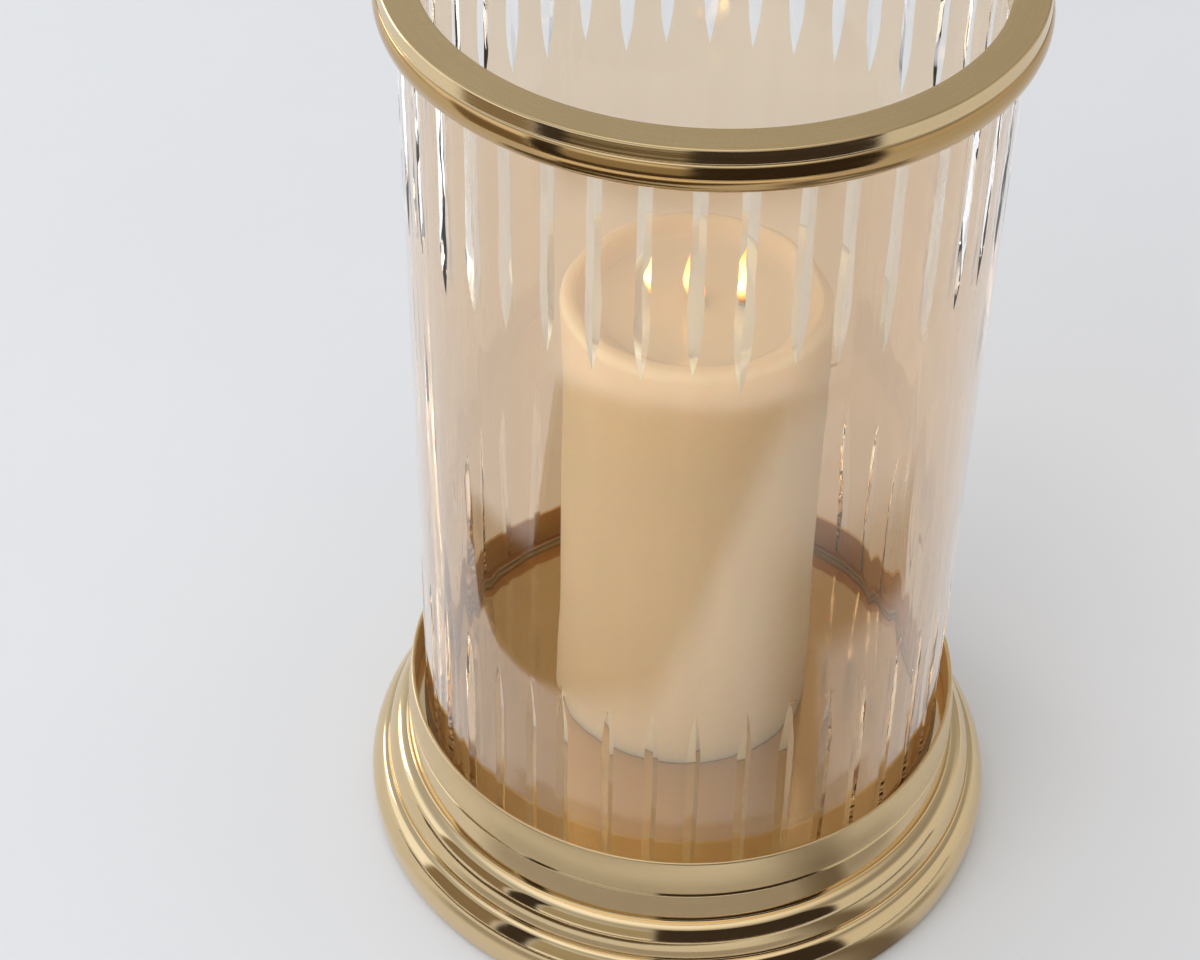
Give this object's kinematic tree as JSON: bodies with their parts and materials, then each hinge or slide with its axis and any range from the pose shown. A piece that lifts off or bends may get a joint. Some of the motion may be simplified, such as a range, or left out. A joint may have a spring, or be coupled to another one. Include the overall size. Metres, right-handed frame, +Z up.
{
  "type": "hurricane candle lantern",
  "caption": "Tall glass cylinder with cut flutes and a brass rim ring, standing in the collar of a stepped brass foot around an ivory pillar candle.",
  "frame": {"origin": "centre of the underside, on the surface the lantern stands on", "axes": "+Z up along the lantern's axis; -Y towards the side the picture is taken from"},
  "size_m": [0.197, 0.197, 0.2985],
  "materials": {
    "brass_polished": "polished pale brass with fine turning lines",
    "brass_satin": "satin pale brass brushed around the axis",
    "brass_mirror": "mirror polished brass",
    "brass_rim": "polished sides, satin top face brushed around the axis",
    "cushion": "matte tan silicone",
    "plate_steel": "bare pressed steel",
    "zinc_steel": "zinc plated",
    "felt": "pressed felt",
    "tinted_glass": "clear champagne tint, hand-cut flutes",
    "bedding": "cured sealant",
    "wax": "ivory candle wax, slightly translucent",
    "cotton": "charred braided cotton",
    "tab_steel": "tinned steel",
    "flame": "glowing candle flame, visual only"
  },
  "bodies": {
    "base": {"base_shell": "brass_polished", "collar_ring": "brass_satin", "candle_plate": "brass_mirror", "seat_ring": "cushion", "base_plate": "plate_steel", "tie_rod": "zinc_steel", "tie_washer": "zinc_steel", "tie_nut": "zinc_steel", "felt_pad": "felt"},
    "shade": {"glass_shade": "tinted_glass", "rim_ring": "brass_rim", "rim_bedding": "bedding"},
    "candle": {"candle_body": "wax", "wick": "cotton", "wick_sustainer": "tab_steel"}
  },
  "joints": [
    {"name": "shade_lift", "type": "slide", "parent": "base", "child": "shade", "axis": [0, 0, 1], "range_m": [0, 0.26]},
    {"name": "candle_lift", "type": "slide", "parent": "base", "child": "candle", "axis": [0, 0, 1], "range_m": [0, 0.27]}
  ]
}
